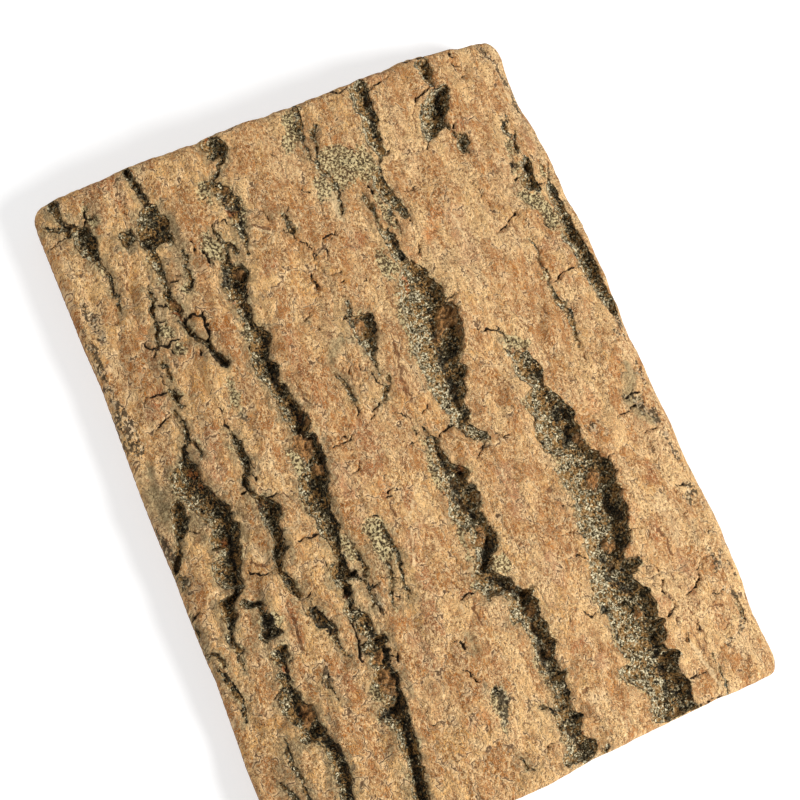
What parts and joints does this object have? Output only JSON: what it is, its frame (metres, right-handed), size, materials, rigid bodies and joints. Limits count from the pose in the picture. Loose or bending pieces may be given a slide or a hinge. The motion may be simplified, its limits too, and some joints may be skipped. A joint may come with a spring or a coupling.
{
  "type": "piece of bark",
  "caption": "Rectangular slab of furrowed pine bark with rounded corners: arched outer face with deep dark fissures between flaky plates, flat inner face to rest on.",
  "frame": {"origin": "middle of the slab's bounding box in plan, on the plane of the flat inner face that it rests on", "axes": "+Z out of the bark's outer face, +Y along the grain (the long way), +X across the grain"},
  "size_m": [0.0724, 0.098, 0.0117],
  "materials": {
    "bark": "rough natural bark: tan to orange-brown flaky plates, dark grey-olive granular furrows, paler cut edges"
  },
  "bodies": {
    "root": {"bark_slab": "bark"}
  },
  "joints": []
}
